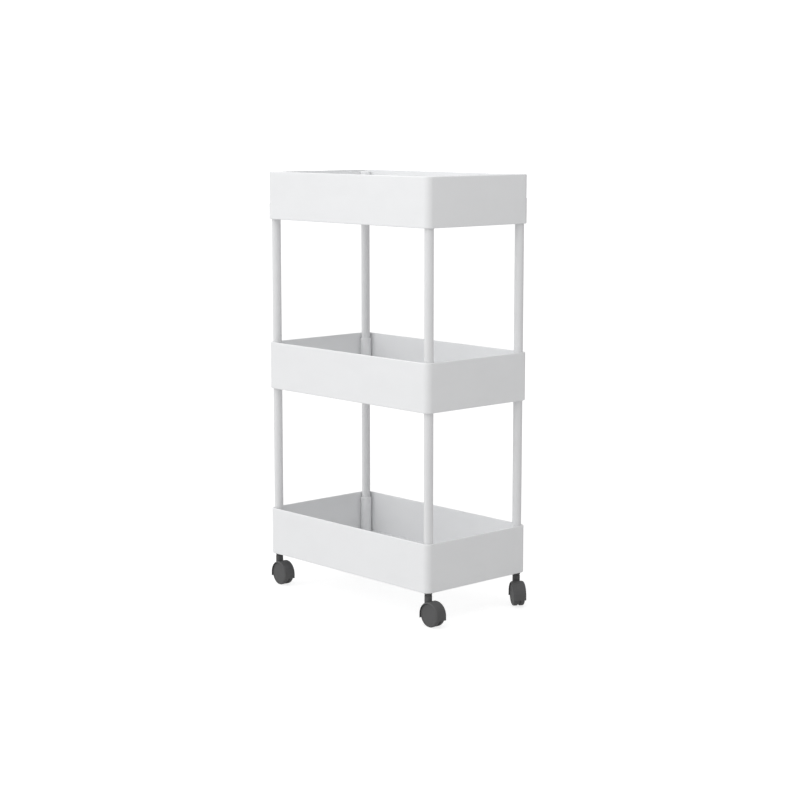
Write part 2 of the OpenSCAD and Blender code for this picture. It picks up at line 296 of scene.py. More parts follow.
class GeometryBuilder(TreeBuilder):
    """Builds a geometry tree, with the steps that this cart's trees share."""

    def __init__(self, name, inputs):
        super().__init__(bpy.data.node_groups.new(name, "GeometryNodeTree"))
        self.given, self.result = self.group_sockets(inputs, [("Geometry", "Geometry")])

    def moved(self, geometry, x=0.0, y=0.0, z=0.0):
        return self.add("GeometryNodeTransform",
                        {"Geometry": geometry, "Translation": self.vector(x, y, z)})

    def rounded_rectangle(self, width, height, radius, steps):
        outline = self.add("GeometryNodeCurvePrimitiveQuadrilateral",
                           {"Width": width, "Height": height})
        return self.add("GeometryNodeFilletCurve",
                        {"Curve": outline, "Count": steps, "Radius": radius,
                         "Limit Radius": True}, mode="POLY")

    def swept(self, path, section):
        """Solid of a section along a level path: the section's Y axis points up."""
        upright = self.add("GeometryNodeSetCurveNormal", {"Curve": path}, mode="Z_UP")
        turned_over = self.add("GeometryNodeTransform",
                               {"Geometry": section, "Rotation": (math.pi, 0.0, 0.0)})
        solid = self.add("GeometryNodeCurveToMesh",
                         {"Curve": upright, "Profile Curve": turned_over})
        return self.add("GeometryNodeFlipFaces", {"Mesh": solid})

    def prism(self, outline, height):
        """Closed solid that stands on a flat outline."""
        face = self.add("GeometryNodeFillCurve", {"Curve": outline}, mode="NGONS")
        sides = self.add("GeometryNodeExtrudeMesh",
                         {"Mesh": face, "Offset": self.vector(z=height), "Offset Scale": 1.0,
                          "Individual": False}, mode="FACES")
        bottom = self.add("GeometryNodeFlipFaces", {"Mesh": face})
        whole = self.add("GeometryNodeJoinGeometry", {"Geometry": [sides, bottom]})
        return self.add("GeometryNodeMergeByDistance", {"Geometry": whole, "Distance": WELD})

    def rod(self, radius, height):
        """Round rod, half its height to each side of Z = 0."""
        return self.add("GeometryNodeMeshCylinder",
                        {"Vertices": COLUMN_STEPS, "Radius": radius, "Depth": height})

    def placed(self, points, solid):
        """Copies of a solid on points, made real."""
        copies = self.add("GeometryNodeInstanceOnPoints", {"Points": points, "Instance": solid})
        return self.add("GeometryNodeRealizeInstances", {"Geometry": copies})

    def union(self, solids):
        return self.add("GeometryNodeMeshBoolean", {"Mesh 2": solids}, operation="UNION",
                        solver="MANIFOLD")

    def difference(self, solid, cutters):
        return self.add("GeometryNodeMeshBoolean", {"Mesh 1": solid, "Mesh 2": cutters},
                        operation="DIFFERENCE", solver="MANIFOLD")

    def finish(self, geometry, material):
        real = self.add("GeometryNodeRealizeInstances", {"Geometry": geometry})
        painted = self.add("GeometryNodeSetMaterial", {"Geometry": real, "Material": material})
        self.wire(painted, self.result["Geometry"])
        return self.tree


def lengths(*names):
    """Group inputs that are lengths."""
    return [(name, "Float", 0.0) for name in names]


def tray_tree():
    """Tree of a moulded tray that stands on Z = 0: walls, slotted floor, ribs and columns."""
    build = GeometryBuilder("Moulded tray", [
        *lengths("Length", "Depth", "Height", "Wall", "Corner Radius", "Edge Radius"),
        *lengths("Floor Lift", "Floor Thickness", "Slot Length", "Slot Width"),
        *lengths("Slot Pitch X", "Slot Pitch Y", "Rib", "Rib Bottom", "Span X", "Span Y"),
        *lengths("Column Radius", "Column Height", "Socket Radius", "Socket Depth", "Web"),
        *lengths("Mouth Radius", "Foot Radius"),
        ("Slot Columns", "Int", 2), ("Slot Rows", "Int", 2), ("Rows Per Rib", "Int", 1),
        ("Material", "Material", None),
    ])
    given, calc = build.given, build.calc
    wall, floor_lift = given["Wall"], given["Floor Lift"]
    half_wall = calc("MULTIPLY", wall, 0.5)

    # The walls: one section with a round rim, swept along the middle of the wall
    path = build.rounded_rectangle(calc("SUBTRACT", given["Length"], wall),
                                   calc("SUBTRACT", given["Depth"], wall),
                                   calc("SUBTRACT", given["Corner Radius"], half_wall), steps=16)
    place = build.add("ShaderNodeSeparateXYZ", {0: build.add("GeometryNodeInputPosition")})
    at_rim = build.add("FunctionNodeCompare", {"A": place.outputs["Y"], "B": 0.0},
                       data_type="FLOAT", operation="GREATER_THAN")
    radius = build.add("GeometryNodeSwitch",
                       {"Switch": at_rim, "False": given["Edge Radius"], "True": half_wall},
                       input_type="FLOAT")
    section = build.rounded_rectangle(wall, given["Height"], radius, steps=6)
    raised = build.moved(section, y=calc("MULTIPLY", given["Height"], 0.5))
    walls = build.swept(path, raised)

    # The floor, and the slots to be cut through it
    floor = build.moved(build.prism(path, given["Floor Thickness"]), z=floor_lift)
    slot = build.rounded_rectangle(given["Slot Length"], given["Slot Width"],
                                   calc("MULTIPLY", given["Slot Width"], 0.5), steps=8)
    cutter = build.moved(build.prism(slot, calc("MULTIPLY", given["Floor Thickness"], 3.0)),
                         z=calc("SUBTRACT", floor_lift, given["Floor Thickness"]))
    columns, rows = given["Slot Columns"], given["Slot Rows"]
    grid = build.add("GeometryNodeMeshGrid", {
        "Size X": calc("MULTIPLY", given["Slot Pitch X"], calc("SUBTRACT", columns, 1.0)),
        "Size Y": calc("MULTIPLY", given["Slot Pitch Y"], calc("SUBTRACT", rows, 1.0)),
        "Vertices X": columns, "Vertices Y": rows})
    slots = build.placed(grid, cutter)

    # The ribs under the floor: between the columns of slots, and every few rows
    rib_top = calc("ADD", floor_lift, calc("MULTIPLY", given["Floor Thickness"], 0.5))
    rib_height = calc("SUBTRACT", rib_top, given["Rib Bottom"])
    rib_middle = calc("ADD", given["Rib Bottom"], calc("MULTIPLY", rib_height, 0.5))
    first_x = calc("MULTIPLY", given["Slot Pitch X"], calc("MULTIPLY_ADD", columns, -0.5, 1.0))
    cross_line = build.add("GeometryNodeMeshLine", {
        "Count": calc("SUBTRACT", columns, 1.0),
        "Start Location": build.vector(first_x, 0.0, rib_middle),
        "Offset": build.vector(given["Slot Pitch X"])}, mode="OFFSET")
    cross = build.placed(cross_line, build.add("GeometryNodeMeshCube", {
        "Size": build.vector(given["Rib"], calc("SUBTRACT", given["Depth"], wall), rib_height)}))
    first_y = calc("MULTIPLY", given["Slot Pitch Y"], calc("MULTIPLY_ADD", rows, -0.5, 1.0))
    long_line = build.add("GeometryNodeMeshLine", {
        "Count": calc("CEIL", calc("DIVIDE", calc("SUBTRACT", rows, 1.0),
                                   given["Rows Per Rib"])),
        "Start Location": build.vector(0.0, first_y, rib_middle),
        "Offset": build.vector(y=calc("MULTIPLY", given["Slot Pitch Y"],
                                      given["Rows Per Rib"]))}, mode="OFFSET")
    along = build.placed(long_line, build.add("GeometryNodeMeshCube", {
        "Size": build.vector(calc("SUBTRACT", given["Length"], wall), given["Rib"], rib_height)}))

    # The corner columns: a tube with a round mouth, and the web between its two sockets
    outer, inner = given["Column Radius"], given["Socket Radius"]
    tube_wall = calc("SUBTRACT", outer, inner)
    middle = calc("MULTIPLY", calc("ADD", outer, inner), 0.5)
    tall = given["Column Height"]
    ring = build.add("GeometryNodeCurvePrimitiveCircle",
                     {"Resolution": COLUMN_STEPS, "Radius": middle})
    tube_radius = build.add("GeometryNodeSwitch",
                            {"Switch": at_rim, "False": given["Foot Radius"],
                             "True": given["Mouth Radius"]},
                            input_type="FLOAT")
    tube_section = build.rounded_rectangle(tube_wall, tall, tube_radius, steps=4)
    tube = build.swept(ring, build.moved(tube_section, y=calc("MULTIPLY", tall, 0.5)))
    web = build.moved(
        build.rod(middle, given["Web"]),
        z=calc("ADD", given["Socket Depth"], calc("MULTIPLY", given["Web"], 0.5)))
    # The core opens the floor for a tube, and ends inside the tube's round mouth
    core_height = calc("SUBTRACT", tall, calc("MULTIPLY", given["Mouth Radius"], 1.5))
    core = build.moved(build.rod(middle, calc("MULTIPLY", core_height, 2.0)))
    corners = build.add("GeometryNodeMeshGrid", {
        "Size X": given["Span X"], "Size Y": given["Span Y"], "Vertices X": 2, "Vertices Y": 2})

    body = build.union([walls, floor, cross, along])
    opened = build.difference(body, [slots, build.placed(corners, core)])
    whole = build.union([opened, build.placed(corners, tube), build.placed(corners, web)])
    return build.finish(whole, given["Material"])


def tube_tree():
    """Tree of a straight tube that stands on Z = 0, with rounded ends."""
    build = GeometryBuilder("Post tube", [
        *lengths("Radius", "Wall", "Length", "End Radius"), ("Material", "Material", None)])
    given, calc = build.given, build.calc
    middle = calc("SUBTRACT", given["Radius"], calc("MULTIPLY", given["Wall"], 0.5))
    ring = build.add("GeometryNodeCurvePrimitiveCircle",
                     {"Resolution": ROUND_STEPS, "Radius": middle})
    section = build.rounded_rectangle(given["Wall"], given["Length"], given["End Radius"],
                                      steps=4)
    raised = build.moved(section, y=calc("MULTIPLY", given["Length"], 0.5))
    return build.finish(build.swept(ring, raised), given["Material"])


# ---------------------------------------------------------------- solids

def new_object(name, mesh):
    piece = bpy.data.objects.new(name, mesh)
    bpy.context.scene.collection.objects.link(piece)
    return piece


def evaluated_mesh(piece):
    """The piece's mesh with its modifiers applied."""
    depsgraph = bpy.context.evaluated_depsgraph_get()
    return bpy.data.meshes.new_from_object(piece.evaluated_get(depsgraph), depsgraph=depsgraph)


def bake_modifiers(piece):
    """Puts the modifiers' result in the piece's own mesh and removes them."""
    mesh = evaluated_mesh(piece)
    piece.modifiers.clear()
    piece.data = mesh
    return piece


def grown(name, tree, values):
    """A piece whose plain mesh is what a geometry tree makes of the values."""
    piece = new_object(name, bpy.data.meshes.new(name))
    modifier = piece.modifiers.new("Shape", "NODES")
    modifier.node_group = tree
    for socket in tree.interface.items_tree:
        if socket.in_out == "INPUT":
            modifier[socket.identifier] = values[socket.name]
    return bake_modifiers(piece)


def arc(centre, radius, start, stop, steps=6):
    """Points of an arc about a centre, from one angle in degrees to another."""
    return [(centre[0] + radius * math.cos(turn), centre[1] + radius * math.sin(turn))
            for turn in (math.radians(start + (stop - start) * i / steps) for i in range(steps + 1))]


def turned(name, profile, steps=ROUND_STEPS):
    """Solid of revolution about Z. The profile's (radius, height) points start and end on the axis."""
    mesh = bpy.data.meshes.new(name)
    shape = bmesh.new()
    chain = [shape.verts.new((radius, 0.0, height)) for radius, height in profile]
    edges = [shape.edges.new(pair) for pair in zip(chain, chain[1:])]
    bmesh.ops.spin(shape, geom=chain + edges, axis=(0, 0, 1), cent=(0, 0, 0),
                   angle=2 * math.pi, steps=steps, use_merge=True)
    bmesh.ops.remove_doubles(shape, verts=shape.verts, dist=WELD / 10)
    bmesh.ops.recalc_face_normals(shape, faces=shape.faces)
    shape.to_mesh(mesh)
    shape.free()
    return new_object(name, mesh)


def swept_solid(name, section, stations):
    """Solid that a closed section makes along stations, with flat ends."""
    mesh = bpy.data.meshes.new(name)
    shape = bmesh.new()
    rings = [[shape.verts.new(place @ Vector((u, v, 0.0))) for u, v in section]
             for place in stations]
    for here, there in zip(rings, rings[1:]):
        for i in range(len(section)):
            shape.faces.new((here[i - 1], here[i], there[i], there[i - 1]))
    shape.faces.new(rings[0])
    shape.faces.new(rings[-1])
    bmesh.ops.recalc_face_normals(shape, faces=shape.faces)
    shape.to_mesh(mesh)
    shape.free()
    return new_object(name, mesh)


def roller(name, radius, half, steps=ROUND_STEPS):
    """A plain disc or rod about Z, half its length to each side of the origin."""
    return turned(name, [(0, -half), (radius, -half), (radius, half), (0, half)], steps)


def extruded(name, outline, thickness):
    """Plate of an outline in X and Y, centred on Z = 0."""
    stations = [Matrix.Translation((0, 0, side * thickness / 2)) for side in (-1, 1)]
    return swept_solid(name, outline, stations)


def combine(base, operation, *others):
    """Unites the base with other solids or cuts them from it, and removes them."""
    for other in others:
        modifier = base.modifiers.new("Cut", "BOOLEAN")
        modifier.operation = operation
        modifier.solver = "MANIFOLD"
        modifier.object = other
    bake_modifiers(base)
    for other in others:
        bpy.data.objects.remove(other)
    return base


def move(piece, matrix):
    piece.data.transform(matrix)
    return piece


def copy_of(piece, name, matrix):
    """A copy of a piece, placed in its mesh."""
    return move(new_object(name, piece.data.copy()), matrix)


def finished(piece, material, sharp=35.0):
    """Cleans a piece's mesh, gives it smooth and sharp edges by angle, and its material."""
    shape = bmesh.new()
    shape.from_mesh(piece.data)
    bmesh.ops.remove_doubles(shape, verts=shape.verts, dist=WELD)
    bmesh.ops.dissolve_degenerate(shape, edges=shape.edges, dist=WELD)
    bmesh.ops.recalc_face_normals(shape, faces=shape.faces)
    open_edges = sum(1 for edge in shape.edges if len(edge.link_faces) != 2)
    shape.to_mesh(piece.data)
    shape.free()
    if open_edges or not piece.data.polygons:
        raise RuntimeError(f"{piece.name} isn't a closed solid: {open_edges} open edges")
    piece.data.shade_smooth()
    piece.data.set_sharp_from_angle(angle=math.radians(sharp))
    even = piece.modifiers.new("Even", "WEIGHTED_NORMAL")
    even.keep_sharp = True
    bake_modifiers(piece)
    piece.data.materials.clear()
    piece.data.materials.append(material)
    return piece


def hand_over(piece, body, node):
    """Fixes a finished piece to its body, in the place of its CAD node."""
    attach(piece, body)
    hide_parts(node)


# ---------------------------------------------------------------- finishes

def shader_group(name):
    """A shader group and its builder, or None for the builder if the group is there already."""
    tree = bpy.data.node_groups.get(name)
    if tree:
        return tree, None
    tree = bpy.data.node_groups.new(name, "ShaderNodeTree")
    return tree, TreeBuilder(tree)


def moulded_grain():
    """Fine texture of a moulding or a powder coat: a height, and slow waves across it."""
    tree, build = shader_group("Moulded grain")
    if build:
        given, result = build.group_sockets(
            [("Grain Size", "Float", 0.0006), ("Wave Size", "Float", 0.03)],
            [("Grain", "Float"), ("Waves", "Float")])
        place = build.add("ShaderNodeTexCoord").outputs["Object"]
        fine = build.add("ShaderNodeTexNoise", {
            "Vector": place, "Scale": build.calc("DIVIDE", 1.0, given["Grain Size"]),
            "Detail": 2.0, "Roughness": 0.6})
        slow = build.add("ShaderNodeTexNoise", {
            "Vector": place, "Scale": build.calc("DIVIDE", 1.0, given["Wave Size"]),
            "Detail": 1.0, "Roughness": 0.4})
        build.wire(fine.outputs["Fac"], result["Grain"])
        build.wire(slow.outputs["Fac"], result["Waves"])
    return tree


def edge_wear_and_shade():
    """Mask of the edges and creases, for wear and for painted edge shade: 1 on a sharp edge, 0 on a
    flat face.
    """
    tree, build = shader_group("Edge wear and painted shade")
    if build:
        given, result = build.group_sockets(
            [("Width", "Float", 0.0008), ("Patchiness", "Float", 0.4)], [("Mask", "Float")])
        rounded = build.add("ShaderNodeBevel", {"Radius": given["Width"]}, samples=4)
        true_normal = build.add("ShaderNodeNewGeometry").outputs["Normal"]
        same = build.add("ShaderNodeVectorMath", {0: rounded, 1: true_normal},
                         operation="DOT_PRODUCT").outputs["Value"]
        bent = build.calc("MULTIPLY", build.calc("SUBTRACT", 1.0, same), 4.0)
        place = build.add("ShaderNodeTexCoord").outputs["Object"]
        patches = build.add("ShaderNodeTexNoise", {"Vector": place, "Scale": 90.0, "Detail": 3.0})
        kept = build.calc("SUBTRACT", 1.0, build.calc("MULTIPLY", patches.outputs["Fac"],
                                                      given["Patchiness"]))
        mask = build.add("ShaderNodeClamp", {"Value": build.calc("MULTIPLY", bent, kept)})
        build.wire(mask, result["Mask"])
    return tree


def handling_haze():
    """Mask of the faint haze that hands and wiping leave, in soft patches and streaks."""
    tree, build = shader_group("Handling haze")
    if build:
        given, result = build.group_sockets([("Patch Size", "Float", 0.07)], [("Mask", "Float")])
        place = build.add("ShaderNodeTexCoord").outputs["Object"]
        stretched = build.add("ShaderNodeMapping", {"Vector": place, "Scale": (1.0, 1.0, 2.2)})
        patches = build.add("ShaderNodeTexNoise", {
            "Vector": stretched, "Scale": build.calc("DIVIDE", 1.0, given["Patch Size"]),
            "Detail": 4.0, "Roughness": 0.55, "Distortion": 0.4})
        mask = build.add("ShaderNodeMapRange", {
            "Value": patches.outputs["Fac"], "From Min": 0.42, "From Max": 0.72})
        build.wire(mask, result["Mask"])
    return tree


MOTTLE = 0.985  # multiplies the base colour in the waves
WAVE_GLOSS = 0.10  # how much rougher a wave's crest is than its trough
HAZE_GLOSS = 0.06  # how much rougher a hazy patch is
WAVE_RELIEF = 6.0  # height of the waves, in heights of the grain
WHITE = (1.0, 1.0, 1.0, 1.0)


def finish_material(name, base, rough, grain, depth, waves, edge_shade, haze_shade,
                    metallic=0.0, specular=0.5, glow=None):
    """A finish with grain in its relief, slow waves in its gloss, and darkened edges for wear and
    painted shade.

    grain and waves are the sizes of their textures and depth is the grain's height, in metres.
    edge_shade and haze_shade multiply the base colour on edges and in hazy patches; an edge_shade well
    below 1, as on the dark nylon, is painted shade.
    glow is the light that comes through it, and what the camera sees of it in addition.
    """
    material = bpy.data.materials.new(name)
    material.use_nodes = True
    material.node_tree.nodes.clear()
    build = TreeBuilder(material.node_tree)
    surface = build.add("ShaderNodeGroup", node_tree=moulded_grain())
    surface.inputs["Grain Size"].default_value = grain
    surface.inputs["Wave Size"].default_value = waves
    edges = build.add("ShaderNodeGroup", node_tree=edge_wear_and_shade())
    haze = build.add("ShaderNodeGroup", node_tree=handling_haze())

    # The numbers are the Mix node's sockets for colours: 6 and 7 go in, 2 comes out
    def tinted(shaded, mask, shade):
        return build.add("ShaderNodeMix", {"Factor": mask, 6: shaded,
                                           7: (shade, shade, shade, 1.0)},
                         data_type="RGBA", blend_type="MULTIPLY").outputs[2]

    plain = build.add("ShaderNodeRGB")
    plain.outputs[0].default_value = (*base, 1.0)
    mottled = tinted(plain, surface.outputs["Waves"], MOTTLE)
    hazed = tinted(mottled, haze.outputs["Mask"], haze_shade)
    # Darker edges and creases: wear, and painted shade where edge_shade is well below 1, as on the
    # dark nylon
    coloured = tinted(hazed, edges.outputs["Mask"], edge_shade)

    gloss = build.calc("MULTIPLY_ADD", surface.outputs["Waves"], WAVE_GLOSS,
                       rough - WAVE_GLOSS / 2)
    dulled = build.calc("MULTIPLY_ADD", haze.outputs["Mask"], HAZE_GLOSS, gloss)
    relief = build.calc("MULTIPLY_ADD", surface.outputs["Waves"], WAVE_RELIEF,
                        surface.outputs["Grain"])
    bump = build.add("ShaderNodeBump", {"Height": relief, "Distance": depth, "Strength": 1.0})

    shader = build.add("ShaderNodeBsdfPrincipled", {
        "Base Color": coloured, "Roughness": dulled, "Normal": bump,
        "Metallic": metallic, "Specular IOR Level": specular})
    if glow:
        seen = build.add("ShaderNodeLightPath").outputs["Is Camera Ray"]
        build.wire(build.calc("MULTIPLY_ADD", seen, glow[1], glow[0]),
                   shader.inputs["Emission Strength"])
        shader.inputs["Emission Color"].default_value = WHITE
    output = build.add("ShaderNodeOutputMaterial")
    if glow:  # a studio floor: from below, the cart shows through it
        back = build.add("ShaderNodeNewGeometry").outputs["Backfacing"]
        mixed = build.add("ShaderNodeMixShader", {"Fac": back})
        build.wire(shader, mixed.inputs[1])
        build.wire(build.add("ShaderNodeBsdfTransparent"), mixed.inputs[2])
        shader = mixed
    build.wire(shader, output.inputs["Surface"])
    return material


# Each slot's colour setting, and the rest of its finish
FINISHES = {
    "tray_plastic": ("tray", dict(rough=0.42, grain=0.0008, depth=0.00005, waves=0.035,
                                  edge_shade=1.0, haze_shade=0.985)),
    "post_paint": ("post", dict(rough=0.36, grain=0.0014, depth=0.00006, waves=0.02,
                                edge_shade=0.97, haze_shade=0.985)),
    # On the casters' and wheels' dark nylon, edge_shade 0.8 is painted shade on edges and creases
    "caster_plastic": ("caster", dict(rough=0.55, grain=0.0007, depth=0.00007, waves=0.008,
                                      edge_shade=0.8, haze_shade=1.08, specular=0.25)),
    "wheel_plastic": ("wheel", dict(rough=0.5, grain=0.0007, depth=0.00007, waves=0.008,
                                    edge_shade=0.8, haze_shade=1.08, specular=0.25)),
    "steel": ("zinc", dict(rough=0.34, grain=0.0008, depth=0.00001, waves=0.006,
                           edge_shade=1.0, haze_shade=0.9, metallic=1.0)),
}


def material_for(slot):
    """The material of one of the record's slots, made when it is first asked for."""
    colour_setting, values = FINISHES[slot]
    name = slot + "_finish"
    base = getattr(bpy.context.scene.pantry_cart.finish, colour_setting)
    return bpy.data.materials.get(name) or finish_material(name, base, **values)


# ---------------------------------------------------------------- pieces

def build_trays(cart):
    sizes, tree = cart.tray, tray_tree()
    values = {
        "Length": sizes.length, "Depth": sizes.depth, "Height": sizes.height,
        "Wall": sizes.wall, "Corner Radius": sizes.corner, "Edge Radius": sizes.edge,
        "Floor Lift": sizes.floor_lift, "Floor Thickness": sizes.floor_thickness,
        "Slot Length": sizes.slot_length, "Slot Width": sizes.slot_width,
        "Slot Pitch X": sizes.slot_pitch_x, "Slot Pitch Y": sizes.slot_pitch_y,
        "Slot Columns": sizes.slot_columns, "Slot Rows": sizes.slot_rows,
        "Rib": sizes.rib, "Rib Bottom": sizes.rib_bottom,
        "Span X": 2 * CORNER_AXIS.x, "Span Y": 2 * CORNER_AXIS.y,
        "Column Radius": sizes.column, "Column Height": sizes.column_height,
        "Socket Radius": POST_RADIUS + PLAY, "Socket Depth": sizes.socket_depth,
        "Web": sizes.web, "Mouth Radius": sizes.mouth, "Foot Radius": sizes.foot,
        "Rows Per Rib": sizes.rows_per_rib, "Material": material_for("tray_plastic"),
    }
    pattern = finished(grown("tray_pattern", tree, values), material_for("tray_plastic"))
    for tier in TIERS:
        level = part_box(f"tray_{tier}")[0].z
        tray = copy_of(pattern, f"{tier}_tray", Matrix.Translation((0, 0, level)))
        hand_over(tray, "root", f"tray_{tier}")
    bpy.data.objects.remove(pattern)


def build_posts(cart):
    tree = tube_tree()
    for row in ("lower", "upper"):
        for corner in CORNERS:
            node = f"post_{row}_{corner}"
            low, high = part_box(node)
            post = grown(f"{row}_post_{corner}", tree, {
                "Radius": POST_RADIUS, "Wall": cart.post.wall, "Length": high.z - low.z,
                "End Radius": cart.post.end, "Material": material_for("post_paint")})
            foot = swivel_point(corner) + Vector((0, 0, low.z))
            move(post, Matrix.Translation(foot))
            hand_over(finished(post, material_for("post_paint")), "root", node)


def build_caps(cart):
    sizes, tray = cart.post, cart.tray
    inset = tray.wall + CLEAR
    reach = Vector((tray.length / 2 - inset, tray.depth / 2 - inset))
    round_corner = tray.corner - inset
    outline = []
    for quarter, (x, y) in enumerate(((1, 1), (-1, 1), (-1, -1), (1, -1))):
        middle = (x * (reach.x - round_corner), y * (reach.y - round_corner))
        outline += arc(middle, round_corner, 90 * quarter, 90 * quarter + 90, 12)
    for corner in CORNERS:
        node = f"column_cap_{corner}"
        low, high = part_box(node)
        shelf = high.z - sizes.cap_height  # where the head sits on its column
        plug_foot = low.z - shelf
        bore = POST_RADIUS - sizes.plug_wall
        core = POST_RADIUS - sizes.plug_wall / 2
        overlap = 1.0 * MM  # of the plug's core in the head
        lap = 0.01 * MM  # of the plug's wall in the head
        edge = sizes.cap_edge
        head = turned(f"cap_{corner}", [
            (0, 0), (sizes.cap - BREAK, 0), (sizes.cap, BREAK),
            *arc((sizes.cap - edge, sizes.cap_height - edge), edge, 0, 90, 8),
            (0, sizes.cap_height)])
        plug = turned("plug", [
            (0, 0), (bore, 0), (bore, plug_foot + BREAK), (bore + BREAK, plug_foot),
            (POST_RADIUS - SOFT_EDGE, plug_foot), (POST_RADIUS, plug_foot + SOFT_EDGE),
            (POST_RADIUS, lap), (core, lap), (core, overlap), (0, overlap)])
        for part in (head, plug):
            move(part, Matrix.Translation(swivel_point(corner) + Vector((0, 0, shelf))))
        inside = swept_solid("inside", outline, [
            Matrix.Translation((0, 0, level)) for level in (low.z, high.z + overlap)])
        combine(head, "INTERSECT", inside)
        combine(head, "UNION", plug)
        hand_over(finished(head, material_for("tray_plastic")), "root", node)


def build_bushes(cart):
    sizes = cart.caster
    bore = sizes.stem + PLAY
    seam = 0.01 * MM  # of the collar against the tray's bottom edge
    top_edge = 0.8 * MM
    for corner in CORNERS:
        node = f"caster_bush_{corner}"
        low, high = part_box(node)
        foot, top = low.z - TRAY_BOTTOM, high.z - TRAY_BOTTOM
        bore_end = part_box(f"caster_stem_{corner}")[1].z - TRAY_BOTTOM + CLEAR
        ring_low, ring_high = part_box(f"grip_ring_{corner}")
        room = (ring_high.x - ring_low.x) / 2 + PLAY
        room_foot = ring_low.z - TRAY_BOTTOM - CLEAR
        room_top = ring_high.z - TRAY_BOTTOM + CLEAR
        bush = turned(f"bush_{corner}", [
            (0, bore_end), (bore, bore_end), (bore, room_top), (room, room_top),
            (room, room_foot), (bore, room_foot), (bore, foot + CHAMFER),
            (bore + CHAMFER, foot),
            *arc((sizes.collar - SOFT_EDGE, foot + SOFT_EDGE), SOFT_EDGE, -90, 0, 4),
            (sizes.collar, -seam), (sizes.collar + seam, 0),
            (POST_RADIUS - CHAMFER, 0), (POST_RADIUS, CHAMFER),
            (POST_RADIUS, top - top_edge), (POST_RADIUS - top_edge, top), (0, top)])
        move(bush, Matrix.Translation(swivel_point(corner) + Vector((0, 0, TRAY_BOTTOM))))
        hand_over(finished(bush, material_for("caster_plastic")), "root", node)


def build_stems(cart):
    sizes = cart.caster
    collar_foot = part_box("caster_bush_front_right")[0].z
    neck_top = HOOD_HIGH.z
    for corner in CORNERS:
        node = f"caster_stem_{corner}"
        low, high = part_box(node)
        ring_low, ring_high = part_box(f"grip_ring_{corner}")
        groove, tip = sizes.stem_groove, sizes.stem_tip
        groove_foot, groove_top = ring_low.z - PLAY, ring_high.z + PLAY
        head_top = low.z + sizes.pin_head_height
        head_edge = 0.4 * MM
        shoulder = neck_top + CLEAR
        stem = turned(f"stem_{corner}", [
            (0, low.z), (sizes.pin_head - head_edge, low.z),
            (sizes.pin_head, low.z + head_edge), (sizes.pin_head, head_top),
            (sizes.pin, head_top), (sizes.pin, shoulder),
            (sizes.shoulder - BREAK, shoulder), (sizes.shoulder, shoulder + BREAK),
            (sizes.shoulder, collar_foot), (sizes.stem, collar_foot),
            (sizes.stem, groove_foot), (groove, groove_foot), (groove, groove_top),
            (sizes.stem, groove_top), (sizes.stem, high.z - tip), (sizes.stem - tip, high.z),
            (0, high.z)])
        move(stem, Matrix.Translation(swivel_point(corner)))
        hand_over(finished(stem, material_for("steel")), "root", node)


def caster_place(corner):
    """Matrix from a caster's own frame, where it trails along X, to its place at rest."""
    start, axle = swivel_point(corner), axle_point(corner)
    heading = math.atan2(axle.y - start.y, axle.x - start.x)
    return Matrix.Translation(start) @ Matrix.Rotation(heading, 4, "Z")


ON_AXLE = Matrix.Translation((TRAIL, 0, WHEEL_RADIUS)) @ Matrix.Rotation(math.pi / 2, 4, "X")


def hood_section(sizes):
    """Section of the hood, from the axle outwards and across: a channel with turned-in edges."""
    outer = HOOD_HIGH.x - AXLE.x
    inner = outer - sizes.hood_wall
    half = (HOOD_HIGH.y - HOOD_LOW.y) / 2
    lip = outer - sizes.lip
    points = []
    for radius, reach, edge in ((outer, half, sizes.hood_edge),
                                (inner, half - sizes.lip_wall, sizes.hood_edge - sizes.hood_wall)):
        turn = math.degrees(math.acos(min(1.0, max(0.0, (lip - radius + edge) / edge))))
        curve = arc((radius - edge, reach - edge), edge, turn, 0, 8)
        if lip < radius - edge:
            curve.insert(0, (lip, reach))
        side = curve + [(u, -v) for u, v in reversed(curve)]
        points += side if radius == outer else list(reversed(side))
    return points


